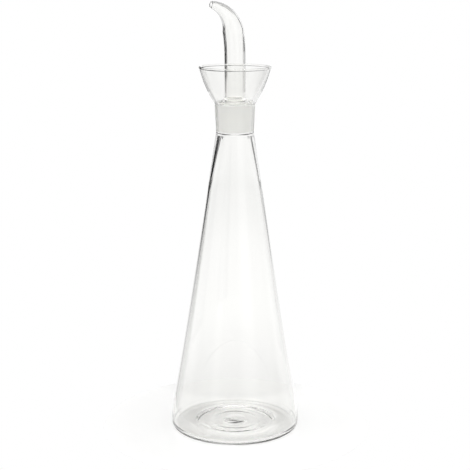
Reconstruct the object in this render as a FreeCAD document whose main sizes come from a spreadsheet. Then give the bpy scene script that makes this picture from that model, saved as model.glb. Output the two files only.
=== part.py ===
import FreeCAD, Part
import math
import os
import Sketcher

document = FreeCAD.newDocument("OilBottle")
sizes = document.addObject("Spreadsheet::Sheet", "Sizes")

# Driving dimensions in millimetres, heights measured up from the table
driving_dimensions = [
    ("total_height", 300.0),
    ("contact_radius", 42.35),
    ("foot_corner", 3.0),
    ("foot_height", 17.0),
    ("foot_blend_radius", 83.0),
    ("base_thickness", 2.6),
    ("recess_radius", 28.2),
    ("recess_depth", 1.1),
    ("recess_slope", 1.0),
    ("floor_corner", 5.4),
    ("knot_radius", 8.0),
    ("knot_rise", 0.9),
    ("cone_foot_radius", 44.16),
    ("cone_flare_radius", 8000.0),
    ("cone_wall", 1.3),
    ("waist_height", 211.5),
    ("waist_radius", 13.0),
    ("thick_wall", 2.1),
    ("thick_wall_start", 192.0),
    ("thin_wall_end", 174.0),
    ("neck_height", 19.3),
    ("neck_top_radius", 13.9),
    ("neck_lip_round", 0.5),
    ("joint_radius", 12.0),
    ("joint_taper", 0.1),
    ("joint_clearance", 0.06),
    ("seat_gap", 0.4),
    ("plug_length", 18.9),
    ("plug_wall", 1.8),
    ("shoulder_radius", 12.45),
    ("shoulder_edge", 0.8),
    ("shoulder_rise", 3.0),
    ("shoulder_thickness", 1.8),
    ("return_hole", 2.4),
    ("return_hole_offset", 8.75),
    ("cup_foot_radius", 14.15),
    ("cup_rim_radius", 24.85),
    ("cup_rim_height", 23.75),
    ("cup_side_radius", 85.0),
    ("cup_rim_bead", 1.1),
    ("spout_radius", 7.25),
    ("spout_wall", 1.15),
    ("tip_radius", 2.3),
    ("tip_wall", 0.8),
    ("tip_round", 0.25),
    ("bend_radius_low", 120.0),
    ("bend_radius_high", 20.5),
    ("bend_angle_low", 9.0),
    ("bend_angle_end", 80.0),
]
for row, (alias, value) in enumerate(driving_dimensions, start=1):
    sizes.set(f"A{row}", alias.replace("_", " "))
    sizes.set(f"B{row}", str(value))
    sizes.setAlias(f"B{row}", alias)
document.recompute()


def expression_of(text):
    """Turn a formula in dimension names into an expression on the sheet."""
    names = sorted((alias for alias, value in driving_dimensions), key=len, reverse=True)
    words = []
    word = ""
    for letter in text + " ":
        if letter.isalnum() or letter == "_":
            word += letter
            continue
        words.append(f"Sizes.{word}" if word in names else word)
        words.append(letter)
        word = ""
    return "".join(words).strip()


def measure(text):
    """Give the number that a formula in dimension names comes to."""
    result = sizes.evalExpression(expression_of(text))
    return float(getattr(result, "Value", result))


def make_body(label, height):
    """Start a piece that stands at a height given as a formula."""
    body = document.addObject("PartDesign::Body", label)
    body.Label = label
    body.Placement = FreeCAD.Placement(FreeCAD.Vector(0, 0, measure(height)), FreeCAD.Rotation())
    body.setExpression("Placement.Base.z", expression_of(height))
    return body


def make_sketch(body, name, role):
    """Add a sketch on one of the body's own origin planes."""
    sketch = body.newObject("Sketcher::SketchObject", name)
    planes = [feature for feature in body.Origin.OriginFeatures if feature.Role == role]
    sketch.AttachmentSupport = (planes[0], [""])
    sketch.MapMode = "FlatFace"
    return sketch


def bind(sketch, constraint, name, formula):
    """Name a constraint of a sketch and bind it to a formula."""
    sketch.renameConstraint(constraint, name)
    sketch.setExpression(f"Constraints.{name}", expression_of(formula))


def arc_between(start, end, radius, left):
    """Make the short arc from start to end that turns left or right."""
    chord = end - start
    middle = (start + end) * 0.5
    across = FreeCAD.Vector(-chord.y, chord.x, 0).normalize()
    reach = math.sqrt(max(radius ** 2 - (chord.Length / 2) ** 2, 0.0))
    centre = middle + across * (reach if left else -reach)
    first = start if left else end
    last = end if left else start
    angle_first = math.atan2(first.y - centre.y, first.x - centre.x)
    angle_last = math.atan2(last.y - centre.y, last.x - centre.x)
    circle = Part.Circle(centre, FreeCAD.Vector(0, 0, 1), radius)
    return Part.ArcOfCircle(circle, angle_first, angle_last)


def draw_profile(sketch, corners):
    """Draw a closed half-section.

    Each corner is its radius, its height and the side that leaves it: None for a straight side, or
    the arc's radius and "left" or "right" for the way it turns.
    """
    points = [FreeCAD.Vector(measure(corner[0]), measure(corner[1]), 0) for corner in corners]
    ends = []
    for index, corner in enumerate(corners):
        start = points[index]
        end = points[(index + 1) % len(points)]
        side = corner[2]
        if side is None:
            sketch.addGeometry(Part.LineSegment(start, end), False)
            ends.append((1, 2))
        else:
            left = side[1] == "left"
            sketch.addGeometry(arc_between(start, end, measure(side[0]), left), False)
            ends.append((1, 2) if left else (2, 1))
    for index, corner in enumerate(corners):
        following = (index + 1) % len(corners)
        sketch.addConstraint(
            Sketcher.Constraint("Coincident", index, ends[index][1], following, ends[following][0])
        )
    for index, corner in enumerate(corners):
        vertex = ends[index][0]
        if corner[0] == "0":
            sketch.addConstraint(Sketcher.Constraint("PointOnObject", index, vertex, -2))
        else:
            across = sketch.addConstraint(
                Sketcher.Constraint("DistanceX", -1, 1, index, vertex, points[index].x)
            )
            bind(sketch, across, f"radius_{index}", corner[0])
        if corner[1] == "0":
            sketch.addConstraint(Sketcher.Constraint("PointOnObject", index, vertex, -1))
        else:
            upward = sketch.addConstraint(
                Sketcher.Constraint("DistanceY", -1, 1, index, vertex, points[index].y)
            )
            bind(sketch, upward, f"height_{index}", corner[1])
        if corner[2] is not None:
            curve = sketch.addConstraint(
                Sketcher.Constraint("Radius", index, measure(corner[2][0]))
            )
            bind(sketch, curve, f"curve_{index}", corner[2][0])


def turn_piece(body, name, corners):
    """Turn a half-section all the way round the upright axis."""
    sketch = make_sketch(body, f"{name}_section", "XZ_Plane")
    draw_profile(sketch, corners)
    turned = body.newObject("PartDesign::Revolution", f"{name}_turned")
    turned.Profile = sketch
    turned.ReferenceAxis = (sketch, ["V_Axis"])
    turned.Angle = 360
    sketch.Visibility = False
    document.recompute()
    return turned


def round_edges(body, name, feature, wanted, formula):
    """Round the edges of a feature that the test picks out."""
    edges = [f"Edge{number}" for number, edge in enumerate(feature.Shape.Edges, 1) if wanted(edge)]
    rounded = body.newObject("PartDesign::Fillet", name)
    rounded.Base = (feature, edges)
    rounded.Radius = measure(formula)
    rounded.setExpression("Radius", expression_of(formula))
    document.recompute()
    return rounded


def ring_at(height):
    """Test for a ring edge that lies at one height in its piece."""
    level = measure(height)

    def wanted(edge):
        box = edge.BoundBox
        flat = box.ZLength < 0.001
        return flat and abs(box.ZMin - level) < 0.001 and edge.isClosed()

    return wanted


# Pressed foot dish: contact ring, recessed centre, rounded corner and the closing knot inside
bottle_base = make_body("bottle_base", "0")
turn_piece(bottle_base, "bottle_base", [
    ("0", "recess_depth", None),
    ("recess_radius - recess_slope", "recess_depth", None),
    ("recess_radius + recess_slope", "0", None),
    ("contact_radius", "0", ("foot_corner", "left")),
    ("contact_radius + foot_corner", "foot_corner", ("foot_blend_radius", "left")),
    ("cone_foot_radius", "foot_height", None),
    ("cone_foot_radius - cone_wall", "foot_height", None),
    ("contact_radius + foot_corner - cone_wall * 1.5", "base_thickness + floor_corner",
     ("floor_corner", "right")),
    ("contact_radius + foot_corner - cone_wall * 1.5 - floor_corner", "base_thickness", None),
    ("recess_radius + recess_slope * 2", "base_thickness", None),
    ("recess_radius - recess_slope * 2", "base_thickness + recess_depth", None),
    ("knot_radius", "base_thickness + recess_depth",
     ("(knot_radius ^ 2 + knot_rise ^ 2) / (2 * knot_rise)", "left")),
    ("0", "base_thickness + recess_depth + knot_rise", None),
])

# Blown cone, flaring very slightly, its wall thicker towards the neck
wall_height = "(waist_height - foot_height)"
cone_slope = "((cone_foot_radius - waist_radius) / (waist_height - foot_height))"
bow = "(0.5 / cone_flare_radius)"


def cone_radius(height):
    """Outer radius of the bowed cone at a height, as a formula."""
    straight = f"cone_foot_radius - {cone_slope} * ({height} - foot_height)"
    return f"({straight} - {bow} * ({height} - foot_height) * (waist_height - {height}))"


bottle_wall = make_body("bottle_wall", "foot_height")
turn_piece(bottle_wall, "bottle_wall", [
    ("cone_foot_radius", "0", ("cone_flare_radius", "right")),
    ("waist_radius", wall_height, None),
    ("joint_radius - joint_taper / 2 * neck_height", wall_height, None),
    (f"{cone_radius('thick_wall_start')} - thick_wall", "thick_wall_start - foot_height", None),
    (f"{cone_radius('thin_wall_end')} - cone_wall", "thin_wall_end - foot_height",
     ("cone_flare_radius", "left")),
    ("cone_foot_radius - cone_wall", "0", None),
])

# Ground taper socket, one in ten on the diameter
neck_socket = make_body("neck_socket", "waist_height")
socket_turned = turn_piece(neck_socket, "neck_socket", [
    ("joint_radius - joint_taper / 2 * neck_height", "0", None),
    ("waist_radius", "0", None),
    ("neck_top_radius", "neck_height", None),
    ("joint_radius", "neck_height", None),
])
round_edges(neck_socket, "neck_lip", socket_turned, ring_at("neck_height"), "neck_lip_round")

# The pourer's pieces stand on one seat level just above the neck
seat_height = "waist_height + neck_height + seat_gap"
plug_top_radius = "(joint_radius - joint_clearance + joint_taper / 2 * seat_gap)"
plug_end_radius = f"({plug_top_radius} - joint_taper / 2 * plug_length)"

# Hollow ground plug, which hangs down from the seat level into the socket
ground_plug = make_body("ground_plug", seat_height)
turn_piece(ground_plug, "ground_plug", [
    (f"{plug_end_radius} - plug_wall", "-plug_length", None),
    (plug_end_radius, "-plug_length", None),
    (plug_top_radius, "0", None),
    (f"{plug_top_radius} - plug_wall", "0", None),
])

# Sloped ring that carries the spout and lets drips run back through its hole
cup_floor = make_body("cup_floor", seat_height)
floor_turned = turn_piece(cup_floor, "cup_floor", [
    (f"{plug_top_radius} - plug_wall", "0", None),
    ("shoulder_radius", "0", None),
    ("shoulder_radius", "shoulder_edge", None),
    ("spout_radius", "shoulder_rise", None),
    ("spout_radius - spout_wall", "shoulder_rise", None),
    ("spout_radius - spout_wall", "shoulder_rise - shoulder_thickness", None),
])
hole_sketch = make_sketch(cup_floor, "return_hole_section", "XY_Plane")
hole_sketch.AttachmentOffset = FreeCAD.Placement(
    FreeCAD.Vector(0, 0, measure("shoulder_rise * 2")), FreeCAD.Rotation()
)
hole_sketch.setExpression("AttachmentOffset.Base.z", expression_of("shoulder_rise * 2"))
hole_centre = FreeCAD.Vector(-measure("return_hole_offset"), 0, 0)
hole_sketch.addGeometry(
    Part.Circle(hole_centre, FreeCAD.Vector(0, 0, 1), measure("return_hole / 2")), False
)
hole_sketch.addConstraint(Sketcher.Constraint("PointOnObject", 0, 3, -1))
hole_place = hole_sketch.addConstraint(Sketcher.Constraint("DistanceX", -1, 1, 0, 3, hole_centre.x))
bind(hole_sketch, hole_place, "offset", "-return_hole_offset")
hole_width = hole_sketch.addConstraint(Sketcher.Constraint("Radius", 0, measure("return_hole / 2")))
bind(hole_sketch, hole_width, "half_width", "return_hole / 2")
document.recompute()
return_hole = cup_floor.newObject("PartDesign::Pocket", "return_hole_cut")
return_hole.Profile = hole_sketch
return_hole.Type = "ThroughAll"
document.recompute()
hole_volume = floor_turned.Shape.Volume - return_hole.Shape.Volume
print(f"return hole takes {hole_volume:.2f} cubic mm")

# Flared cup, its side slightly bowed, closed at the top by a round bead
drip_cup = make_body("drip_cup", seat_height)
turn_piece(drip_cup, "drip_cup", [
    ("shoulder_radius", "0", None),
    ("cup_foot_radius", "0", ("cup_side_radius", "left")),
    ("cup_rim_radius", "cup_rim_height", ("cup_rim_bead", "left")),
    ("cup_rim_radius - cup_rim_bead * 1.998", "cup_rim_height", ("cup_side_radius", "right")),
    ("shoulder_radius", "shoulder_edge", None),
])

# Spout: an upright tube, a slight bend at full width, then a close bend drawn down to the tip
foot_level = f"({seat_height} + shoulder_rise)"
low_turn = "bend_angle_low * 1 deg"
end_turn = "bend_angle_end * 1 deg"
low_across = f"bend_radius_low * (1 - cos({low_turn}))"
low_rise = f"bend_radius_low * sin({low_turn})"
high_across = f"bend_radius_high * (cos({low_turn}) - cos({end_turn}))"
high_rise = f"bend_radius_high * (sin({end_turn}) - sin({low_turn}))"
tip_rise = f"tip_radius * sin({end_turn})"
bend_level = f"(total_height - {foot_level} - {low_rise} - {high_rise} - {tip_rise})"

# Each station of the centre line: its place across, its level and the turn so far
stations = [
    ("0", bend_level, "0"),
    (low_across, f"{bend_level} + {low_rise}", "bend_angle_low"),
    (f"{low_across} + {high_across}", f"{bend_level} + {low_rise} + {high_rise}", "bend_angle_end"),
]

spout_tube = make_body("spout_tube", foot_level)
upright = turn_piece(spout_tube, "spout_upright", [
    ("spout_radius - spout_wall", "0", None),
    ("spout_radius", "0", None),
    ("spout_radius", bend_level, None),
    ("spout_radius - spout_wall", bend_level, None),
])


def tube_section(name, place, outer, wall):
    """Draw the ring section of the tube, square to its centre line at a station."""
    across, upward, turn = place
    sketch = make_sketch(spout_tube, name, "XY_Plane")
    centre = FreeCAD.Vector(measure(across), 0, measure(upward))
    tilt = FreeCAD.Rotation(FreeCAD.Vector(0, 1, 0), measure(turn))
    sketch.AttachmentOffset = FreeCAD.Placement(centre, tilt)
    sketch.setExpression("AttachmentOffset.Base.x", expression_of(across))
    sketch.setExpression("AttachmentOffset.Base.z", expression_of(upward))
    if turn != "0":
        sketch.setExpression("AttachmentOffset.Rotation.Angle", expression_of(turn))
    for index, radius in enumerate((outer, f"{outer} - {wall}")):
        circle = Part.Circle(FreeCAD.Vector(0, 0, 0), FreeCAD.Vector(0, 0, 1), measure(radius))
        sketch.addGeometry(circle, False)
        sketch.addConstraint(Sketcher.Constraint("Coincident", index, 3, -1, 1))
        width = sketch.addConstraint(Sketcher.Constraint("Radius", index, measure(radius)))
        bind(sketch, width, f"section_radius_{index}", radius)
    sketch.Visibility = False
    return sketch


def bend_line(name, first, last, radius):
    """Draw the arc of the centre line between two stations."""
    sketch = make_sketch(spout_tube, name, "XZ_Plane")
    start = FreeCAD.Vector(measure(first[0]), measure(first[1]), 0)
    end = FreeCAD.Vector(measure(last[0]), measure(last[1]), 0)
    sketch.addGeometry(arc_between(start, end, measure(radius), False), False)
    for vertex, place, point in ((2, first, start), (1, last, end)):
        if place[0] == "0":
            sketch.addConstraint(Sketcher.Constraint("PointOnObject", 0, vertex, -2))
        else:
            across = sketch.addConstraint(
                Sketcher.Constraint("DistanceX", -1, 1, 0, vertex, point.x)
            )
            bind(sketch, across, f"across_{vertex}", place[0])
        upward = sketch.addConstraint(Sketcher.Constraint("DistanceY", -1, 1, 0, vertex, point.y))
        bind(sketch, upward, f"level_{vertex}", place[1])
    curve = sketch.addConstraint(Sketcher.Constraint("Radius", 0, measure(radius)))
    bind(sketch, curve, "curve", radius)
    sketch.Visibility = False
    return sketch


low_section = tube_section("bend_low_section", stations[0], "spout_radius", "spout_wall")
low_line = bend_line("bend_low_line", stations[0], stations[1], "bend_radius_low")
document.recompute()
bend_low = spout_tube.newObject("PartDesign::AdditivePipe", "bend_low")
bend_low.Profile = low_section
bend_low.Spine = (low_line, ["Edge1"])
document.recompute()
high_section = tube_section("bend_high_section", stations[1], "spout_radius", "spout_wall")
tip_section = tube_section("tip_section", stations[2], "tip_radius", "tip_wall")
high_line = bend_line("bend_high_line", stations[1], stations[2], "bend_radius_high")
document.recompute()
bend_high = spout_tube.newObject("PartDesign::AdditivePipe", "bend_high")
bend_high.Profile = high_section
bend_high.Spine = (high_line, ["Edge1"])
bend_high.Transformation = "Multisection"
bend_high.Sections = [tip_section]
document.recompute()
bend_volume = bend_high.Shape.Volume - upright.Shape.Volume
print(f"the bend adds {bend_volume:.1f} cubic mm")


def at_tip(edge):
    """Test for the ring edges of the spout's mouth."""
    middle = edge.BoundBox.Center
    place = FreeCAD.Vector(measure(stations[2][0]), 0, measure(stations[2][1]))
    return edge.isClosed() and (middle - place).Length < 0.2


round_edges(spout_tube, "spout_mouth", bend_high, at_tip, "tip_round")

# Check every object, then write one file for each piece
pieces = [bottle_base, bottle_wall, neck_socket, ground_plug, cup_floor, drip_cup, spout_tube]
document.recompute()
for item in document.Objects:
    faults = [state for state in item.State if state in ("Invalid", "Error")]
    if faults:
        raise RuntimeError(f"{item.Label} failed: {item.State}")
if hole_volume < 1:
    raise RuntimeError("the return hole cuts nothing")
if bend_volume < 500:
    raise RuntimeError("the bend adds nothing")
os.makedirs("parts", exist_ok=True)
top = 0.0
for piece in pieces:
    shape = piece.Shape
    if shape.isNull() or not shape.isValid() or len(shape.Solids) != 1:
        raise RuntimeError(f"{piece.Label} is not one valid solid")
    box = shape.optimalBoundingBox(False)
    top = max(top, box.ZMax)
    print(
        f"{piece.Label}: volume {shape.Volume:.1f}, x {box.XMin:.2f} to {box.XMax:.2f},"
        f" z {box.ZMin:.2f} to {box.ZMax:.2f}"
    )
    shape.exportStep(os.path.join("parts", f"{piece.Label}.step"))
print(f"top of the spout at {top:.2f} mm")
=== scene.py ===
import logging
import math
from collections.abc import Callable
from dataclasses import dataclass, field
from enum import Enum

import bmesh
import bpy
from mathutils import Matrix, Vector


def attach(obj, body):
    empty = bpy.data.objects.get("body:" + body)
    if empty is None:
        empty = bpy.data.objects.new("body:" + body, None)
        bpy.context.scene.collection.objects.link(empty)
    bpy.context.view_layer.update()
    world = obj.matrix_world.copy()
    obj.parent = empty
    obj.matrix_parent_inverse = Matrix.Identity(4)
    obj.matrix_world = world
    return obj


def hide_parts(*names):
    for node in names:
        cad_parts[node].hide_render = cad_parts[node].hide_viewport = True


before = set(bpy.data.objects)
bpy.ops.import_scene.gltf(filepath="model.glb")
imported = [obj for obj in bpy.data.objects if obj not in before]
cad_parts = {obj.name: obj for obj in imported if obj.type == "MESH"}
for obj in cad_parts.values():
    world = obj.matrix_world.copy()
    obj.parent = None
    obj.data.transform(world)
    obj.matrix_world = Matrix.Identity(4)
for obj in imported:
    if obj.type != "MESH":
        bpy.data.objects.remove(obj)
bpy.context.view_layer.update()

# One millimetre in metres
MM = 0.001
# Points this close are one point, and rings this close are sealed together
NEAR = 0.002 * MM
SEAL = 0.05 * MM
# What a round leaves of the side it takes, in millimetres, so that no side vanishes
SLACK = 0.01
AROUND = 2 * math.pi
SMOOTH_ANGLE = math.radians(40)
# Sockets of the node that mixes two colours
MIX_SHARE = 0
MIX_FIRST = 6
MIX_SECOND = 7
MIX_RESULT = 2

Colour = tuple[float, float, float, float]
Stop = tuple[float, Colour]

log = logging.getLogger("oil_bottle")


class Body(Enum):
    """The two loose things that the object comes apart into."""

    BOTTLE = "bottle"
    POURER = "pourer"


class Element(Enum):
    """What kind of mesh element a selection takes."""

    VERTEX = "VERT"
    EDGE = "EDGE"
    FACE = "FACE"


class FaceFinish(Enum):
    """Which of a piece's two finishes a face has, in the order of its material slots."""

    FIRE_POLISHED = 0
    GROUND_MATT = 1


def linear_colour(code: str) -> Colour:
    """Turn an sRGB hex colour into linear values.

    Args:
        code: six hex digits after a hash sign.

    Returns:
        Red, green, blue and a full alpha.
    """
    channels = [int(code[start:start + 2], 16) / 255 for start in (1, 3, 5)]
    linear = [c / 12.92 if c <= 0.04045 else ((c + 0.055) / 1.055) ** 2.4 for c in channels]
    return (linear[0], linear[1], linear[2], 1.0)


def add_node(
    tree: bpy.types.NodeTree,
    kind: str,
    settings: dict[str, object] | None = None,
    inputs: dict[str | int, object] | None = None,
) -> bpy.types.Node:
    """Add one node, set it up and link it.

    Args:
        tree: the node tree that takes the node.
        kind: the node's type name.
        settings: the node's own properties.
        inputs: a value for each input socket, or an output socket to link to it.

    Returns:
        The new node.
    """
    node = tree.nodes.new(kind)
    for name, value in (settings or {}).items():
        setattr(node, name, value)
    for name, value in (inputs or {}).items():
        if isinstance(value, bpy.types.NodeSocket):
            tree.links.new(value, node.inputs[name])
        else:
            node.inputs[name].default_value = value
    return node


def grey(tone: float) -> Colour:
    """Make a neutral linear colour."""
    return (tone, tone, tone, 1.0)


def set_stops(ramp: bpy.types.Node, stops: list[Stop]) -> None:
    """Give a colour ramp its stops.

    Args:
        ramp: the colour ramp node.
        stops: each stop's position from 0 to 1 and its linear colour, in order.
    """
    elements = ramp.color_ramp.elements
    while len(elements) > 1:
        elements.remove(elements[-1])
    elements[0].position, elements[0].color = stops[0]
    for position, colour in stops[1:]:
        element = elements.new(position)
        element.color = colour


def clear_selection() -> None:
    """Go back to object mode with nothing selected."""
    if bpy.context.mode != "OBJECT":
        bpy.ops.object.mode_set(mode="OBJECT")
    bpy.ops.object.select_all(action="DESELECT")


def work_on(piece: bpy.types.Object) -> None:
    """Make one object the only selected and active one."""
    clear_selection()
    piece.select_set(True)
    bpy.context.view_layer.objects.active = piece


def edit_all() -> None:
    """Go into edit mode on the active object with every vertex selected."""
    bpy.ops.object.mode_set(mode="EDIT")
    bpy.ops.mesh.select_mode(type="VERT")
    bpy.ops.mesh.select_all(action="SELECT")


def pick(piece: bpy.types.Object, kind: Element, wanted: Callable[[object], bool]) -> int:
    """Select, in edit mode, just the elements that pass a test.

    Args:
        piece: the mesh object in edit mode.
        kind: what kind of element to select.
        wanted: the test, given each element.

    Returns:
        How many elements were selected.
    """
    bpy.ops.mesh.select_mode(type=kind.value)
    bpy.ops.mesh.select_all(action="DESELECT")
    mesh = bmesh.from_edit_mesh(piece.data)
    elements = {Element.VERTEX: mesh.verts, Element.EDGE: mesh.edges, Element.FACE: mesh.faces}
    chosen = [element for element in elements[kind] if wanted(element)]
    for element in chosen:
        element.select_set(True)
    mesh.select_flush_mode()
    bmesh.update_edit_mesh(piece.data)
    return len(chosen)


@dataclass(frozen=True)
class Corner:
    """One corner of a half-section, in millimetres.

    The rounding is the length that the round takes from each side of the corner.
    """

    radius: float
    height: float
    rounding: float = 0.0

    def place(self) -> Vector:
        """The corner's place in the XZ plane, in metres."""
        return Vector((self.radius * MM, 0.0, self.height * MM))


@dataclass
class Outline:
    """A half-section that is drawn side by side and turned into a glass wall."""

    corners: list[Corner] = field(default_factory=list)
    longest_side: float = 4.0
    round_parts: int = 8

    def to(self, radius: float, height: float, rounding: float = 0.0) -> None:
        """Draw a straight side to the next corner."""
        self.corners.append(Corner(radius, height, rounding))

    def bow_to(self, radius: float, height: float, bow: float, parts: int = 16) -> None:
        """Draw a side that bows out of its chord.

        Args:
            radius: where the side ends.
            height: where the side ends.
            bow: how far the middle stands to the right of the chord, seen along the drawing.
            parts: how many straight parts the bow has.
        """
        first = self.corners[-1]
        along = Vector((radius - first.radius, height - first.height))
        across = Vector((along.y, -along.x)).normalized()
        # A parabola through both ends, farthest from the chord in the middle
        for part in range(1, parts + 1):
            share = part / parts
            point = along * share + across * (4 * bow * share * (1 - share))
            self.corners.append(Corner(first.radius + point.x, first.height + point.y))

    def round_bead(self, middle: Corner, bead: float, first: float, last: float, parts: int = 24) -> None:
        """Go round a bead of glass from one side of a wall to the other.

        Args:
            middle: the bead's middle.
            bead: the bead's own radius.
            first: the direction of the side where it begins, in radians up from outward.
            last: the direction of the side where it ends.
            parts: how many straight parts the round has.
        """
        for part in range(1, parts + 1):
            turn = first + (last - first) * part / parts
            self.to(middle.radius + bead * math.cos(turn), middle.height + bead * math.sin(turn))

    def draw(self, name: str) -> bpy.types.Object:
        """Draw the corners as one wire, round them and part the long sides.

        Args:
            name: the new object's name.

        Returns:
            The wire, in edit mode.
        """
        clear_selection()
        bpy.ops.mesh.primitive_plane_add(size=MM, location=self.corners[0].place())
        piece = bpy.context.object
        piece.name = name
        bpy.ops.object.transform_apply(location=True, rotation=False, scale=False)
        edit_all()
        bpy.ops.mesh.merge(type="CENTER")
        for before, after in zip(self.corners, self.corners[1:]):
            step = after.place() - before.place()
            bpy.ops.mesh.extrude_vertices_move(TRANSFORM_OT_translate={"value": step})
        for corner in self.corners:
            if corner.rounding > 0:
                place = corner.place()
                pick(piece, Element.VERTEX, lambda vertex: (vertex.co - place).length < NEAR)
                bpy.ops.mesh.bevel(
                    affect="VERTICES", offset=corner.rounding * MM, segments=self.round_parts, profile=0.5
                )
        edges = bmesh.from_edit_mesh(piece.data).edges
        part_counts = {math.ceil(edge.calc_length() / (self.longest_side * MM)) for edge in edges}
        for parts in sorted(part_counts - {0, 1}, reverse=True):
            low = (parts - 1) * self.longest_side * MM
            high = parts * self.longest_side * MM
            pick(piece, Element.EDGE, lambda edge: low < edge.calc_length() <= high)
            bpy.ops.mesh.subdivide(number_cuts=parts - 1)
        return piece

    def turn(self, name: str, steps: int) -> bpy.types.Object:
        """Turn the half-section all the way round the upright axis.

        Args:
            name: the new object's name.
            steps: how many faces go round.

        Returns:
            The turned mesh, in edit mode.
        """
        piece = self.draw(name)
        bpy.ops.mesh.select_mode(type="VERT")
        bpy.ops.mesh.select_all(action="SELECT")
        bpy.ops.mesh.spin(
            steps=steps, angle=AROUND, use_auto_merge=True, center=(0, 0, 0), axis=(0, 0, 1)
        )
        bpy.ops.mesh.select_all(action="SELECT")
        bpy.ops.mesh.remove_doubles(threshold=NEAR)
        return piece


# Borosilicate tube and blown glass, worked in a flame and left fire-polished: clear to the edge,
# with only faint cords and ripples that the flame leaves along the drawn direction
@dataclass(frozen=True)
class FirePolishedGlass:
    """Clear borosilicate glass with a fire-polished surface."""

    name: str = "borosilicate_glass_fire_polished"
    clear_tint: str = "#FEFEFD"
    cord_tint: str = "#FDFDFC"
    index: float = 1.474
    roughness: float = 0.0
    ripple_width: float = 16.0
    ripple_length: float = 60.0
    ripple_depth: float = 0.005
    ripple_detail: float = 1.0
    ripple_roughness: float = 0.4
    clear_level: float = 0.35
    cord_level: float = 0.7

    def build(self) -> bpy.types.Material:
        """Make the material."""
        material = bpy.data.materials.new(self.name)
        material.use_nodes = True
        tree = material.node_tree
        tree.nodes.clear()
        place = add_node(tree, "ShaderNodeTexCoord")
        lengthwise = self.ripple_width / self.ripple_length
        drawn = add_node(tree, "ShaderNodeMapping", inputs={
            "Vector": place.outputs["Object"],
            "Scale": (1.0, 1.0, lengthwise),
        })
        ripple = add_node(tree, "ShaderNodeTexNoise", inputs={
            "Vector": drawn.outputs["Vector"],
            "Scale": 1 / (self.ripple_width * MM),
            "Detail": self.ripple_detail,
            "Roughness": self.ripple_roughness,
        })
        cords = add_node(tree, "ShaderNodeValToRGB", inputs={"Fac": ripple.outputs["Fac"]})
        set_stops(cords, [
            (self.clear_level, linear_colour(self.clear_tint)),
            (self.cord_level, linear_colour(self.cord_tint)),
        ])
        bump = add_node(tree, "ShaderNodeBump", inputs={
            "Height": ripple.outputs["Fac"],
            "Strength": 1.0,
            "Distance": self.ripple_depth * MM,
        })
        shader = add_node(tree, "ShaderNodeBsdfPrincipled", inputs={
            "Base Color": cords.outputs["Color"],
            "Normal": bump.outputs["Normal"],
            "Roughness": self.roughness,
            "IOR": self.index,
            "Transmission Weight": 1.0,
        })
        add_node(tree, "ShaderNodeOutputMaterial", inputs={"Surface": shader.outputs["BSDF"]})
        return material


# The same glass ground with wet grit: the light scatters, so the taper looks like fine frost
@dataclass(frozen=True)
class GroundGlass:
    """Borosilicate glass ground matt for a taper joint."""

    name: str = "borosilicate_glass_ground_matt"
    pale_tint: str = "#FFFFFE"
    deep_tint: str = "#FDFDFB"
    index: float = 1.474
    clear_share: float = 0.4
    smooth_share: float = 0.3
    rough_share: float = 0.4
    grit_size: float = 0.7
    grit_depth: float = 0.02
    grit_strength: float = 0.5
    grit_detail: float = 2.0
    grit_roughness: float = 0.6
    pale_level: float = 0.3
    deep_level: float = 0.75
    rough_level: float = 0.7

    def build(self) -> bpy.types.Material:
        """Make the material."""
        material = bpy.data.materials.new(self.name)
        material.use_nodes = True
        tree = material.node_tree
        tree.nodes.clear()
        place = add_node(tree, "ShaderNodeTexCoord")
        # Real grit marks are about 0.1 mm, too fine to show, so they are drawn several times coarser
        grit = add_node(tree, "ShaderNodeTexNoise", inputs={
            "Vector": place.outputs["Object"],
            "Scale": 1 / (self.grit_size * MM),
            "Detail": self.grit_detail,
            "Roughness": self.grit_roughness,
        })
        frost = add_node(tree, "ShaderNodeValToRGB", inputs={"Fac": grit.outputs["Fac"]})
        set_stops(frost, [
            (self.pale_level, linear_colour(self.pale_tint)),
            (self.deep_level, linear_colour(self.deep_tint)),
        ])
        matt = add_node(tree, "ShaderNodeMapRange", inputs={
            "Value": grit.outputs["Fac"],
            "From Min": self.pale_level,
            "From Max": self.rough_level,
            "To Min": self.smooth_share,
            "To Max": self.rough_share,
        })
        bump = add_node(tree, "ShaderNodeBump", inputs={
            "Height": grit.outputs["Fac"],
            "Strength": self.grit_strength,
            "Distance": self.grit_depth * MM,
        })
        shader = add_node(tree, "ShaderNodeBsdfPrincipled", inputs={
            "Base Color": frost.outputs["Color"],
            "Normal": bump.outputs["Normal"],
            "Roughness": matt.outputs["Result"],
            "IOR": self.index,
            "Transmission Weight": self.clear_share,
        })
        add_node(tree, "ShaderNodeOutputMaterial", inputs={"Surface": shader.outputs["BSDF"]})
        return material


@dataclass
class GlassPiece:
    """What the bottle and the pourer share: two finishes and the record's slot."""

    finishes: dict[FaceFinish, bpy.types.Material]
    slot: str = "clear_glass"

    def close_up(self, piece: bpy.types.Object) -> None:
        """Merge what meets, turn every face outwards and smooth the shading."""
        work_on(piece)
        edit_all()
        bpy.ops.mesh.remove_doubles(threshold=NEAR * 2)
        bpy.ops.mesh.normals_make_consistent(inside=False)
        bpy.ops.object.mode_set(mode="OBJECT")
        bpy.ops.object.shade_smooth_by_angle(angle=SMOOTH_ANGLE)

    def dress(self, piece: bpy.types.Object, ground: Callable[[bmesh.types.BMFace], bool]) -> None:
        """Give the piece its clear finish, and the ground one on the taper's faces.

        Args:
            piece: the finished mesh.
            ground: the test for a ground face.
        """
        piece.data.materials.clear()
        for finish in FaceFinish:
            piece.data.materials.append(self.finishes[finish])
        work_on(piece)
        bpy.ops.object.mode_set(mode="EDIT")
        count = pick(piece, Element.FACE, ground)
        piece.active_material_index = FaceFinish.GROUND_MATT.value
        bpy.ops.object.material_slot_assign()
        bpy.ops.object.mode_set(mode="OBJECT")
        log.info("%s has %d ground faces", piece.name, count)


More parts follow.
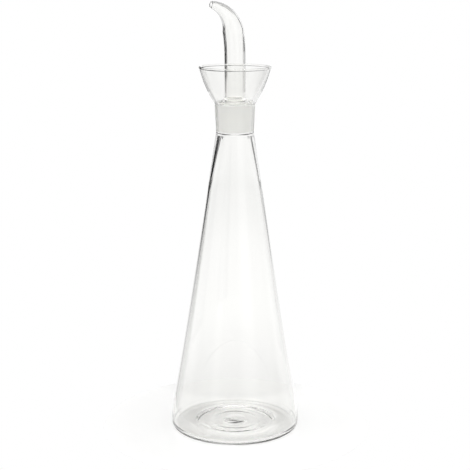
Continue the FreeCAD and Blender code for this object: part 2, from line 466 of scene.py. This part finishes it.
@dataclass
class Bottle(GlassPiece):
    """The conical bottle with its pressed foot and ground neck. Sizes are in millimetres."""

    contact_radius: float = 42.35
    foot_corner: float = 3.0
    foot_height: float = 17.0
    foot_bow: float = 0.3
    base_thickness: float = 1.5
    recess_radius: float = 28.2
    recess_depth: float = 1.1
    recess_slope: float = 3.0
    recess_round: float = 2.5
    floor_corner: float = 3.0
    floor_step_round: float = 1.5
    ring_radius: float = 28.0
    ring_rise: float = 0.6
    ring_half_width: float = 2.4
    ring_round: float = 1.2
    ring_top_round: float = 1.25
    inner_ring_radius: float = 16.3
    inner_ring_rise: float = 0.3
    knot_radius: float = 9.0
    knot_rise: float = 1.1
    knot_bow: float = 0.2
    knot_push: tuple[float, float] = (3.0, -1.7)
    cone_foot_radius: float = 44.16
    cone_bow: float = 0.59
    inner_bow_share: float = 0.65
    cone_wall: float = 1.3
    waist_height: float = 211.5
    waist_radius: float = 13.0
    thick_wall: float = 3.3
    thick_wall_start: float = 210.0
    thin_wall_end: float = 176.0
    wall_blend: float = 5.0
    ledge_round: float = 1.0
    neck_height: float = 19.3
    neck_top_radius: float = 13.9
    lip_outer_round: float = 0.7
    lip_inner_round: float = 0.5
    joint_radius: float = 12.0
    joint_taper: float = 0.1
    ground_start: float = 0.4
    ground_end: float = 0.6
    ground_reach: float = 0.2
    cone_parts: int = 48
    inner_cone_parts: int = 40
    knot_parts: int = 8
    steps: int = 192

    def cone_radius(self, height: float) -> float:
        """Outer radius of the slightly bowed cone at a height."""
        share = (height - self.foot_height) / (self.waist_height - self.foot_height)
        straight = self.cone_foot_radius + (self.waist_radius - self.cone_foot_radius) * share
        return straight - 4 * self.cone_bow * share * (1 - share)

    def outline(self) -> Outline:
        """Draw the half-section from the middle of the foot up, over the lip and down inside.

        Returns:
            The outline.
        """
        foot_radius = self.contact_radius + self.foot_corner
        neck_top = self.waist_height + self.neck_height
        socket_end = self.joint_radius - self.joint_taper / 2 * self.neck_height
        inner_foot = foot_radius - self.cone_wall
        middle_floor = self.base_thickness + self.recess_depth
        line = Outline()
        line.to(0, self.recess_depth)
        line.to(self.recess_radius - self.recess_slope, self.recess_depth, self.recess_round)
        line.to(self.recess_radius + self.recess_slope, 0, self.recess_round)
        line.to(foot_radius, 0, self.foot_corner - SLACK)
        line.to(foot_radius, self.foot_corner)
        line.bow_to(self.cone_foot_radius, self.foot_height, self.foot_bow)
        line.bow_to(self.waist_radius, self.waist_height, -self.cone_bow, self.cone_parts)
        line.to(self.neck_top_radius, neck_top, self.lip_outer_round)
        line.to(self.joint_radius, neck_top, self.lip_inner_round)
        line.to(socket_end, self.waist_height, self.lip_inner_round)
        ledge_radius = self.cone_radius(self.thick_wall_start) - self.thick_wall
        line.to(ledge_radius, self.thick_wall_start, self.ledge_round)
        thin_radius = self.cone_radius(self.thin_wall_end) - self.cone_wall
        line.to(thin_radius, self.thin_wall_end, self.wall_blend)
        inner_bow = self.cone_bow * self.inner_bow_share
        inner_cone_foot = self.cone_foot_radius - self.cone_wall
        line.bow_to(inner_cone_foot, self.foot_height, inner_bow, self.inner_cone_parts)
        line.bow_to(inner_foot, self.base_thickness + self.floor_corner, -self.foot_bow)
        line.to(inner_foot, self.base_thickness, self.floor_corner - SLACK)
        line.to(self.recess_radius + self.recess_slope * 2, self.base_thickness, self.floor_step_round)
        ring_low = (self.base_thickness + middle_floor) / 2
        line.to(self.ring_radius + self.ring_half_width, ring_low, self.ring_round)
        line.to(self.ring_radius, ring_low + self.ring_rise, self.ring_top_round)
        line.to(self.ring_radius - self.ring_half_width, ring_low, self.ring_round)
        line.to(self.recess_radius - self.recess_slope * 2, middle_floor, self.floor_step_round)
        line.to(self.inner_ring_radius + self.ring_half_width, middle_floor, self.ring_round)
        line.to(self.inner_ring_radius, middle_floor + self.inner_ring_rise, self.ring_round)
        line.to(self.inner_ring_radius - self.ring_half_width, middle_floor, self.ring_round)
        line.to(self.knot_radius, middle_floor, self.floor_step_round)
        line.bow_to(0, middle_floor + self.knot_rise, self.knot_bow, self.knot_parts)
        return line

    def is_ground(self, face: bmesh.types.BMFace) -> bool:
        """Whether a face is on the socket's ground inside."""
        centre = face.calc_center_median() / MM
        outward = face.normal.x * centre.x + face.normal.y * centre.y
        low = self.waist_height + self.ground_start
        high = self.waist_height + self.neck_height - self.ground_end
        across = math.hypot(centre.x, centre.y)
        return low < centre.z < high and outward < 0 and across < self.joint_radius + self.ground_reach

    def push_knot(self, piece: bpy.types.Object) -> None:
        """Push the top of the knot off the middle, as the glassblower's iron leaves it.

        Args:
            piece: the turned bottle, in edit mode.
        """
        floor = self.base_thickness * MM
        pick(piece, Element.VERTEX, lambda vertex: vertex.co.xy.length < NEAR and vertex.co.z > floor)
        bpy.ops.transform.translate(
            value=(self.knot_push[0] * MM, self.knot_push[1] * MM, 0),
            use_proportional_edit=True,
            use_proportional_connected=True,
            proportional_edit_falloff="SMOOTH",
            proportional_size=self.knot_radius * MM,
        )

    def build(self) -> bpy.types.Object:
        """Model the bottle, dress it and put it in the frame.

        Returns:
            The finished piece.
        """
        piece = self.outline().turn("bottle_glass", self.steps)
        self.push_knot(piece)
        self.close_up(piece)
        self.dress(piece, self.is_ground)
        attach(piece, Body.BOTTLE.value)
        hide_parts("bottle_base", "bottle_wall", "neck_socket")
        return piece


@dataclass(frozen=True)
class Ring:
    """One ring of a bent tube, in millimetres, with its lean from upright in radians."""

    across: float
    height: float
    lean: float
    radius: float

    def place(self) -> Vector:
        """The ring's centre in metres."""
        return Vector((self.across * MM, 0.0, self.height * MM))


@dataclass
class Pourer(GlassPiece):
    """The lift-out pourer: plug, drip cup and bent spout. Sizes are in millimetres."""

    seat_height: float = 231.2
    joint_radius: float = 11.96
    joint_taper: float = 0.1
    plug_length: float = 18.9
    plug_wall: float = 1.8
    plug_end_round: float = 0.5
    plug_top_round: float = 0.3
    ground_start: float = 0.4
    ground_end: float = 0.2
    seal_round: float = 1.0
    shoulder_radius: float = 12.45
    shoulder_edge: float = 0.8
    shoulder_rise: float = 3.0
    shoulder_thickness: float = 1.8
    return_hole: float = 2.4
    return_hole_offset: float = 8.75
    return_hole_level: float = 1.6
    return_hole_cut: float = 5.0
    return_hole_sides: int = 48
    cup_foot_radius: float = 14.15
    cup_foot_round: float = 0.6
    cup_rim_radius: float = 24.85
    cup_rim_height: float = 24.3
    cup_bow: float = 1.0
    cup_rim_bead: float = 0.85
    cup_rim_wall: float = 0.9
    cup_rim_lean: float = math.radians(77)
    spout_radius: float = 7.25
    spout_wall: float = 1.15
    tip_radius: float = 2.3
    tip_wall: float = 0.8
    top_height: float = 300.0
    bend_radius_low: float = 120.0
    bend_radius_high: float = 20.5
    bend_low: float = math.radians(9)
    bend_end: float = math.radians(80)
    steps: int = 128

    def bend_level(self) -> float:
        """The height where the spout starts to bend."""
        low_rise = self.bend_radius_low * math.sin(self.bend_low)
        high_rise = self.bend_radius_high * (math.sin(self.bend_end) - math.sin(self.bend_low))
        return self.top_height - self.tip_radius * math.sin(self.bend_end) - low_rise - high_rise

    def outline(self) -> Outline:
        """Draw the half-section from the spout's bore down, round the plug, up the cup and the spout.

        Returns:
            The outline, open at the level where the spout bends.
        """
        seat = self.seat_height
        bore = self.spout_radius - self.spout_wall
        plug_end = self.joint_radius - self.joint_taper / 2 * self.plug_length
        plug_level = seat - self.plug_length
        line = Outline()
        line.to(bore, self.bend_level())
        line.to(bore, seat + self.shoulder_rise - self.shoulder_thickness, self.seal_round)
        line.to(self.joint_radius - self.plug_wall, seat, self.seal_round)
        line.to(plug_end - self.plug_wall, plug_level, self.plug_end_round)
        line.to(plug_end, plug_level, self.plug_end_round)
        line.to(self.joint_radius, seat, self.plug_top_round)
        line.to(self.cup_foot_radius, seat, self.cup_foot_round)
        bead = Corner(self.cup_rim_radius - self.cup_rim_bead, seat + self.cup_rim_height)
        wall_turn = math.asin(self.cup_rim_wall / 2 / self.cup_rim_bead)
        outside = self.cup_rim_lean - math.pi + wall_turn
        inside = self.cup_rim_lean + math.pi - wall_turn
        line.bow_to(
            bead.radius + self.cup_rim_bead * math.cos(outside),
            bead.height + self.cup_rim_bead * math.sin(outside),
            self.cup_bow,
        )
        line.round_bead(bead, self.cup_rim_bead, outside, inside)
        line.bow_to(self.shoulder_radius, seat + self.shoulder_edge, -self.cup_bow)
        line.to(self.spout_radius, seat + self.shoulder_rise, self.seal_round)
        line.to(self.spout_radius, self.bend_level())
        return line

    def ring_at(self, lean: float, radius: float) -> Ring:
        """Place a ring on the spout's bent centre line.

        Args:
            lean: how far the centre line leans from upright there, in radians.
            radius: the ring's radius.

        Returns:
            The ring.
        """
        low = min(lean, self.bend_low)
        across = self.bend_radius_low * (1 - math.cos(low))
        height = self.bend_level() + self.bend_radius_low * math.sin(low)
        across += self.bend_radius_high * (math.cos(low) - math.cos(lean))
        height += self.bend_radius_high * (math.sin(lean) - math.sin(low))
        return Ring(across, height, lean, radius)

    def spout_rings(self, low_parts: int = 4, high_parts: int = 30, lip_parts: int = 8) -> list[Ring]:
        """List the rings outside along the bend, over the tip's round lip and back inside.

        Args:
            low_parts: parts of the slight bend.
            high_parts: parts of the close, drawn-down bend.
            lip_parts: parts of the lip's half circle.

        Returns:
            The rings in order.
        """
        leans = [self.bend_low * part / low_parts for part in range(low_parts)]
        close = self.bend_end - self.bend_low
        leans += [self.bend_low + close * part / high_parts for part in range(high_parts + 1)]
        outside = []
        inside = []
        for lean in leans:
            drawn = max(lean - self.bend_low, 0) / close
            outer = self.spout_radius + (self.tip_radius - self.spout_radius) * drawn
            wall = self.spout_wall + (self.tip_wall - self.spout_wall) * drawn
            outside.append(self.ring_at(lean, outer))
            inside.append(self.ring_at(lean, outer - wall))
        tip = outside[-1]
        half_wall = self.tip_wall / 2
        lip = []
        for part in range(1, lip_parts):
            turn = math.pi * part / lip_parts
            reach = half_wall * math.sin(turn)
            lip.append(Ring(
                tip.across + reach * math.sin(tip.lean),
                tip.height + reach * math.cos(tip.lean),
                tip.lean,
                tip.radius - half_wall + half_wall * math.cos(turn),
            ))
        return outside + lip + inside[::-1]

    def bend_spout(self) -> bpy.types.Object:
        """Walk a circle along the spout's rings, extruding, turning and scaling it at each.

        Returns:
            The bent tube, open at its foot.
        """
        rings = self.spout_rings()
        clear_selection()
        bpy.ops.mesh.primitive_circle_add(
            vertices=self.steps, radius=rings[0].radius * MM, location=rings[0].place()
        )
        tube = bpy.context.object
        tube.name = "spout_bend"
        bpy.ops.object.transform_apply(location=True, rotation=False, scale=False)
        edit_all()
        for before, after in zip(rings, rings[1:]):
            place = after.place()
            grow = after.radius / before.radius
            step = place - before.place()
            bpy.ops.mesh.extrude_region_move(TRANSFORM_OT_translate={"value": step})
            if after.lean != before.lean:
                bpy.ops.transform.rotate(
                    value=before.lean - after.lean, orient_axis="Y", center_override=place
                )
            bpy.ops.transform.resize(value=(grow, grow, grow), center_override=place)
        bpy.ops.object.mode_set(mode="OBJECT")
        return tube

    def seal_tube(self, piece: bpy.types.Object, tube: bpy.types.Object) -> None:
        """Join the bent tube to the upright one and merge the rings where they meet.

        Args:
            piece: the turned part of the pourer.
            tube: the bent part, which becomes part of the piece.
        """
        work_on(piece)
        tube.select_set(True)
        bpy.ops.object.join()
        bpy.ops.object.mode_set(mode="EDIT")
        level = self.bend_level() * MM
        pick(piece, Element.VERTEX, lambda vertex: abs(vertex.co.z - level) < SEAL)
        bpy.ops.mesh.remove_doubles(threshold=SEAL)
        bpy.ops.object.mode_set(mode="OBJECT")

    def cut_return_hole(self, piece: bpy.types.Object) -> None:
        """Cut the drip return hole through the sloped shoulder, behind the spout."""
        clear_selection()
        bpy.ops.mesh.primitive_cylinder_add(
            vertices=self.return_hole_sides,
            radius=self.return_hole / 2 * MM,
            depth=self.return_hole_cut * MM,
            location=(-self.return_hole_offset * MM, 0, (self.seat_height + self.return_hole_level) * MM),
        )
        cutter = bpy.context.object
        work_on(piece)
        cut = piece.modifiers.new("return_hole", "BOOLEAN")
        cut.operation = "DIFFERENCE"
        cut.solver = "EXACT"
        cut.object = cutter
        bpy.ops.object.modifier_apply(modifier=cut.name)
        bpy.data.objects.remove(cutter)

    def is_ground(self, face: bmesh.types.BMFace) -> bool:
        """Whether a face is on the plug's ground outside."""
        centre = face.calc_center_median() / MM
        outward = face.normal.x * centre.x + face.normal.y * centre.y
        low = self.seat_height - self.plug_length + self.ground_start
        high = self.seat_height - self.ground_end
        return low < centre.z < high and outward > 0

    def build(self) -> bpy.types.Object:
        """Model the pourer, dress it and put it in the frame.

        Returns:
            The finished piece.
        """
        piece = self.outline().turn("pourer_glass", self.steps)
        bpy.ops.object.mode_set(mode="OBJECT")
        tube = self.bend_spout()
        self.seal_tube(piece, tube)
        self.close_up(piece)
        self.cut_return_hole(piece)
        self.close_up(piece)
        self.dress(piece, self.is_ground)
        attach(piece, Body.POURER.value)
        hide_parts("ground_plug", "cup_floor", "drip_cup", "spout_tube")
        return piece


@dataclass(frozen=True)
class PhotoCamera:
    """The camera at the photograph's angle. Lengths are in millimetres."""

    azimuth: float = math.radians(150)
    distance: float = 824.9
    height: float = 324.3
    aim_height: float = 139.0
    lens: float = 92.55
    sensor: float = 36.0
    nearest: float = 10.0
    farthest: float = 50000.0

    def look(self) -> Vector:
        """The level direction that the camera looks in."""
        return Vector((-math.sin(self.azimuth), math.cos(self.azimuth), 0.0))

    def left(self) -> Vector:
        """The level direction to the left of the view."""
        return Vector((-math.cos(self.azimuth), -math.sin(self.azimuth), 0.0))

    def build(self) -> bpy.types.Object:
        """Make the camera and give it to the scene.

        Returns:
            The camera.
        """
        data = bpy.data.cameras.new("photo_camera")
        data.lens = self.lens
        data.sensor_width = self.sensor
        data.clip_start = self.nearest * MM
        data.clip_end = self.farthest * MM
        camera = bpy.data.objects.new("photo_camera", data)
        bpy.context.scene.collection.objects.link(camera)
        place = -self.look() * self.distance + Vector((0, 0, self.height))
        aim = Vector((0, 0, self.aim_height))
        camera.location = place * MM
        camera.rotation_euler = (aim - place).to_track_quat("-Z", "Y").to_euler()
        bpy.context.scene.camera = camera
        return camera


# White acrylic sheet with a painted glow: a bright, nearly even white with a weak, slightly blurred
# reflection. The glow is painted light that fills in the bottle's shadow, with painted shade under the
# edge of the foot and a painted shadow behind the bottle
@dataclass(frozen=True)
class WhiteAcrylic:
    """The finish of the floor.

    The painted glow is a list of radii in millimetres and strengths, dimmest under the edge of the foot as
    painted shade. The shade is a painted shadow: a soft disc whose middle lies shade_reach behind the
    bottle.
    """

    name: str = "white_acrylic_sheet"
    white: str = "#BCBCBB"
    soft_white: str = "#B8B8B7"
    # Painted glow by radius: painted light that fills in the bottle's shadow, dimmer under the edge of the
    # foot as painted shade
    painted_shade_glow: tuple[tuple[float, float], ...] = (
        (24, 0.54), (31, 0.5), (38, 0.43), (43, 0.5), (46, 0.5), (51, 0.49),
        (62, 0.51), (80, 0.52), (95, 0.54),
    )
    index: float = 1.3
    roughness: float = 0.12
    cloud_size: float = 90.0
    white_level: float = 0.3
    soft_level: float = 0.7
    # A painted shadow: the glow is dimmed in a soft disc behind the bottle
    shade_reach: float = 110.0
    shade_core: float = 54.0
    shade_end: float = 70.0
    shade_depth: float = 0.16

    def build(self, behind: Vector) -> bpy.types.Material:
        """Make the material.

        Args:
            behind: the level direction in which the painted soft shadow behind the bottle lies.

        Returns:
            The material.
        """
        material = bpy.data.materials.new(self.name)
        material.use_nodes = True
        tree = material.node_tree
        tree.nodes.clear()
        place = add_node(tree, "ShaderNodeTexCoord")
        cloud = add_node(tree, "ShaderNodeTexNoise", inputs={
            "Vector": place.outputs["Object"],
            "Scale": 1 / (self.cloud_size * MM),
        })
        tone = add_node(tree, "ShaderNodeValToRGB", inputs={"Fac": cloud.outputs["Fac"]})
        set_stops(tone, [
            (self.white_level, linear_colour(self.white)),
            (self.soft_level, linear_colour(self.soft_white)),
        ])
        reach = add_node(tree, "ShaderNodeVectorMath", {"operation": "LENGTH"}, {
            0: place.outputs["Object"],
        })
        # Painted glow by distance from the middle: painted fill light, with painted shade under the edge
        # of the foot
        spread = self.painted_shade_glow[-1][0]
        share = add_node(tree, "ShaderNodeMapRange", inputs={
            "Value": reach.outputs["Value"],
            "From Max": spread * MM,
        })
        painted_shade_glow = add_node(tree, "ShaderNodeValToRGB", inputs={"Fac": share.outputs["Result"]})
        set_stops(painted_shade_glow, [(radius / spread, grey(strength)) for radius, strength in self.painted_shade_glow])
        # Painted shadow behind the bottle: the glow is dimmed within a soft disc there
        apart = add_node(tree, "ShaderNodeVectorMath", {"operation": "DISTANCE"}, {
            0: place.outputs["Object"],
            1: behind * self.shade_reach * MM,
        })
        painted_shadow_share = add_node(tree, "ShaderNodeMapRange", {"interpolation_type": "SMOOTHSTEP"}, {
            "Value": apart.outputs["Value"],
            "From Min": self.shade_core * MM,
            "From Max": self.shade_end * MM,
            "To Min": 1.0 - self.shade_depth,
            "To Max": 1.0,
        })
        shader = add_node(tree, "ShaderNodeBsdfPrincipled", inputs={
            "Base Color": tone.outputs["Color"],
            "Roughness": self.roughness,
            "IOR": self.index,
            "Emission Color": painted_shade_glow.outputs["Color"],
            "Emission Strength": painted_shadow_share.outputs["Result"],
        })
        add_node(tree, "ShaderNodeOutputMaterial", inputs={"Surface": shader.outputs["BSDF"]})
        return material


@dataclass(frozen=True)
class Screen:
    """A grey screen round the table, in degrees left of the photograph's view and degrees up."""

    right: float
    left: float
    low: float
    high: float
    tone: float
    soft_side: float = 4.0
    soft_level: float = 4.0


@dataclass
class Studio:
    """The pale floor and the white surround, with grey screens that draw the glass's edges.

    The surround's tones are a list of degrees up and strengths.
    """

    camera: PhotoCamera
    floor_finish: bpy.types.Material
    floor_radius: float = 95.0
    floor_sides: int = 128
    floor_thickness: float = 0.3
    floor_gap: float = 0.05
    sweep_tones: tuple[tuple[float, float], ...] = (
        (-30, 1.0), (-24, 0.98), (-20.5, 0.9), (-19.5, 0.92), (-18, 0.995), (-16, 1.06),
        (-13, 1.04), (-11.5, 0.98), (-9, 0.95), (-7, 0.97), (-4, 1.03), (56, 1.03), (66, 2.5),
    )
    bounces: int = 32
    diffuse_bounces: int = 16
    screens: tuple[Screen, ...] = (
        # A black card on the left with a grey foot, for the left lines of the spout and the cone
        Screen(right=24, left=54, low=-5.2, high=16, tone=0.0, soft_level=7),
        Screen(right=24, left=54, low=-30, high=-8, tone=0.68),
        Screen(right=24, left=54, low=-30, high=16, tone=0.87, soft_side=24),
        # A black strip at the level that the upright spout shows
        Screen(right=15, left=54, low=-7.5, high=-3.4, tone=0.0, soft_side=2, soft_level=0.7),
        # Dark patches overhead for the two ends of the cup's rim
        Screen(right=4, left=40, low=7, high=50, tone=0.05, soft_side=3, soft_level=2),
        Screen(right=-13, left=-4.5, low=6.5, high=9, tone=0.2, soft_side=1, soft_level=1.5),
        # Cards on the right for the thinner right lines of the spout and the cone
        Screen(right=-50, left=-36, low=-1.0, high=16, tone=0.18, soft_level=1.6),
        Screen(right=-50, left=-24, low=-2.9, high=-1.4, tone=0.15, soft_side=2, soft_level=0.5),
        Screen(right=-50, left=-24, low=-9, high=-2.9, tone=0.78, soft_side=2, soft_level=0.6),
        Screen(right=-32, left=-17, low=-9.2, high=-6.8, tone=0.62, soft_side=2, soft_level=0.5),
        Screen(right=-50, left=-17, low=-4.9, high=-2.9, tone=0.6, soft_side=2, soft_level=0.5),
        Screen(right=-54, left=-24, low=-30, high=-10, tone=0.88),
        # Low cards for the edges as seen from above, at the other side
        Screen(right=-84, left=-60, low=-36, high=-16, tone=0.5, soft_side=6),
        Screen(right=-156, left=-130, low=-36, high=-16, tone=0.5, soft_side=6),
        # Cards for the edges as seen level, from the other sides
        Screen(right=155, left=184, low=-14, high=20, tone=0.55, soft_side=20),
        Screen(right=-124, left=-88, low=-14, high=20, tone=0.55, soft_side=20),
        Screen(right=98, left=126, low=-14, high=20, tone=0.55, soft_side=20),
        # A grey ceiling, darker ahead and darkest on the left
        Screen(right=-180, left=180, low=18, high=50, tone=0.8, soft_level=6),
        Screen(right=-100, left=100, low=18, high=50, tone=0.62, soft_side=10, soft_level=6),
        Screen(right=-6, left=60, low=18, high=50, tone=0.3, soft_side=8, soft_level=6),
    )

    def build_floor(self) -> bpy.types.Object:
        """Make the round white sheet that the bottle stands on.

        Returns:
            The floor.
        """
        clear_selection()
        bpy.ops.mesh.primitive_circle_add(
            vertices=self.floor_sides, radius=self.floor_radius * MM, fill_type="NGON", location=(0, 0, 0)
        )
        floor = bpy.context.object
        floor.name = "floor_sheet"
        edit_all()
        bpy.ops.mesh.extrude_region_move(
            TRANSFORM_OT_translate={"value": (0, 0, -self.floor_thickness * MM)}
        )
        bpy.ops.mesh.select_all(action="SELECT")
        bpy.ops.mesh.normals_make_consistent(inside=False)
        bpy.ops.object.mode_set(mode="OBJECT")
        bpy.ops.transform.translate(value=(0, 0, -self.floor_gap * MM))
        bpy.ops.object.transform_apply(location=True, rotation=False, scale=False)
        floor.data.materials.append(self.floor_finish)
        return floor

    def within(
        self, tree: bpy.types.NodeTree, angle: bpy.types.NodeSocket, first: float, last: float, soft: float
    ) -> bpy.types.NodeSocket:
        """Mark the directions between two angles, with soft ends.

        Args:
            tree: the surround's node tree.
            angle: the direction's angle, in radians.
            first: where the marked part begins, in degrees.
            last: where it ends, in degrees.
            soft: over how many degrees each end fades out.

        Returns:
            One inside and zero outside.
        """
        half = math.radians(last - first) / 2
        middle = math.radians(last + first) / 2
        apart = add_node(tree, "ShaderNodeMath", {"operation": "SUBTRACT"}, {0: angle, 1: middle})
        wrapped = add_node(tree, "ShaderNodeMath", {"operation": "WRAP"}, {
            0: apart.outputs["Value"],
            1: math.pi,
            2: -math.pi,
        })
        off = add_node(tree, "ShaderNodeMath", {"operation": "ABSOLUTE"}, {0: wrapped.outputs["Value"]})
        marked = add_node(tree, "ShaderNodeMapRange", {"interpolation_type": "SMOOTHSTEP"}, {
            "Value": off.outputs["Value"],
            "From Min": half,
            "From Max": half + math.radians(soft),
            "To Min": 1.0,
            "To Max": 0.0,
        })
        return marked.outputs["Result"]

    def build_surround(self) -> None:
        """Make the world: white all round, toned by level, with the screens standing in it."""
        world = bpy.data.worlds.new("white_surround")
        bpy.context.scene.world = world
        world.use_nodes = True
        tree = world.node_tree
        tree.nodes.clear()
        place = add_node(tree, "ShaderNodeTexCoord")
        direction = place.outputs["Generated"]
        ahead = add_node(tree, "ShaderNodeVectorMath", {"operation": "DOT_PRODUCT"}, {
            0: direction,
            1: self.camera.look(),
        })
        left = add_node(tree, "ShaderNodeVectorMath", {"operation": "DOT_PRODUCT"}, {
            0: direction,
            1: self.camera.left(),
        })
        heading = add_node(tree, "ShaderNodeMath", {"operation": "ARCTAN2"}, {
            0: left.outputs["Value"],
            1: ahead.outputs["Value"],
        })
        parts = add_node(tree, "ShaderNodeSeparateXYZ", inputs={"Vector": direction})
        rise = add_node(tree, "ShaderNodeMath", {"operation": "ARCSINE"}, {0: parts.outputs["Z"]})
        level = add_node(tree, "ShaderNodeMapRange", inputs={
            "Value": rise.outputs["Value"],
            "From Min": -math.pi / 2,
            "From Max": math.pi / 2,
        })
        sweep = add_node(tree, "ShaderNodeValToRGB", inputs={"Fac": level.outputs["Result"]})
        set_stops(sweep, [((degrees + 90) / 180, grey(tone)) for degrees, tone in self.sweep_tones])
        surround = sweep.outputs["Color"]
        turn = heading.outputs["Value"]
        lift = rise.outputs["Value"]
        for screen in self.screens:
            across = self.within(tree, turn, screen.right, screen.left, screen.soft_side)
            upright = self.within(tree, lift, screen.low, screen.high, screen.soft_level)
            cover = add_node(tree, "ShaderNodeMath", {"operation": "MULTIPLY"}, {0: across, 1: upright})
            shaded = add_node(tree, "ShaderNodeMix", {"data_type": "RGBA", "blend_type": "MULTIPLY"}, {
                MIX_SHARE: cover.outputs["Value"],
                MIX_FIRST: surround,
                MIX_SECOND: grey(screen.tone),
            })
            surround = shaded.outputs[MIX_RESULT]
        # The backdrop itself stays plain white: the screens show only in the glass and on the floor
        ray = add_node(tree, "ShaderNodeLightPath")
        shown = add_node(tree, "ShaderNodeMix", {"data_type": "RGBA"}, {
            MIX_SHARE: ray.outputs["Is Camera Ray"],
            MIX_FIRST: surround,
            MIX_SECOND: grey(1.0),
        })
        light = add_node(tree, "ShaderNodeBackground", inputs={"Color": shown.outputs[MIX_RESULT]})
        add_node(tree, "ShaderNodeOutputWorld", inputs={"Surface": light.outputs["Background"]})

    def set_exposure(self) -> None:
        """Show white as white, and let light pass through every wall of the glass."""
        scene = bpy.context.scene
        scene.view_settings.view_transform = "Standard"
        scene.view_settings.look = "None"
        scene.cycles.max_bounces = self.bounces
        scene.cycles.transmission_bounces = self.bounces
        scene.cycles.glossy_bounces = self.bounces
        scene.cycles.diffuse_bounces = self.diffuse_bounces
        # No filtering: it would blur what shows through clear glass by way of the ground joint
        scene.cycles.blur_glossy = 0.0


def main() -> None:
    """Build the camera, the studio and the two glass pieces."""
    logging.basicConfig(level=logging.INFO, format="%(message)s")
    camera = PhotoCamera()
    camera.build()
    studio = Studio(camera, WhiteAcrylic().build(camera.look()))
    studio.build_floor()
    studio.build_surround()
    studio.set_exposure()
    finishes = {
        FaceFinish.FIRE_POLISHED: FirePolishedGlass().build(),
        FaceFinish.GROUND_MATT: GroundGlass().build(),
    }
    for sub_assembly in (Bottle(finishes), Pourer(finishes)):
        piece = sub_assembly.build()
        log.info("%s: %d faces", piece.name, len(piece.data.polygons))


if __name__ == "__main__":
    main()
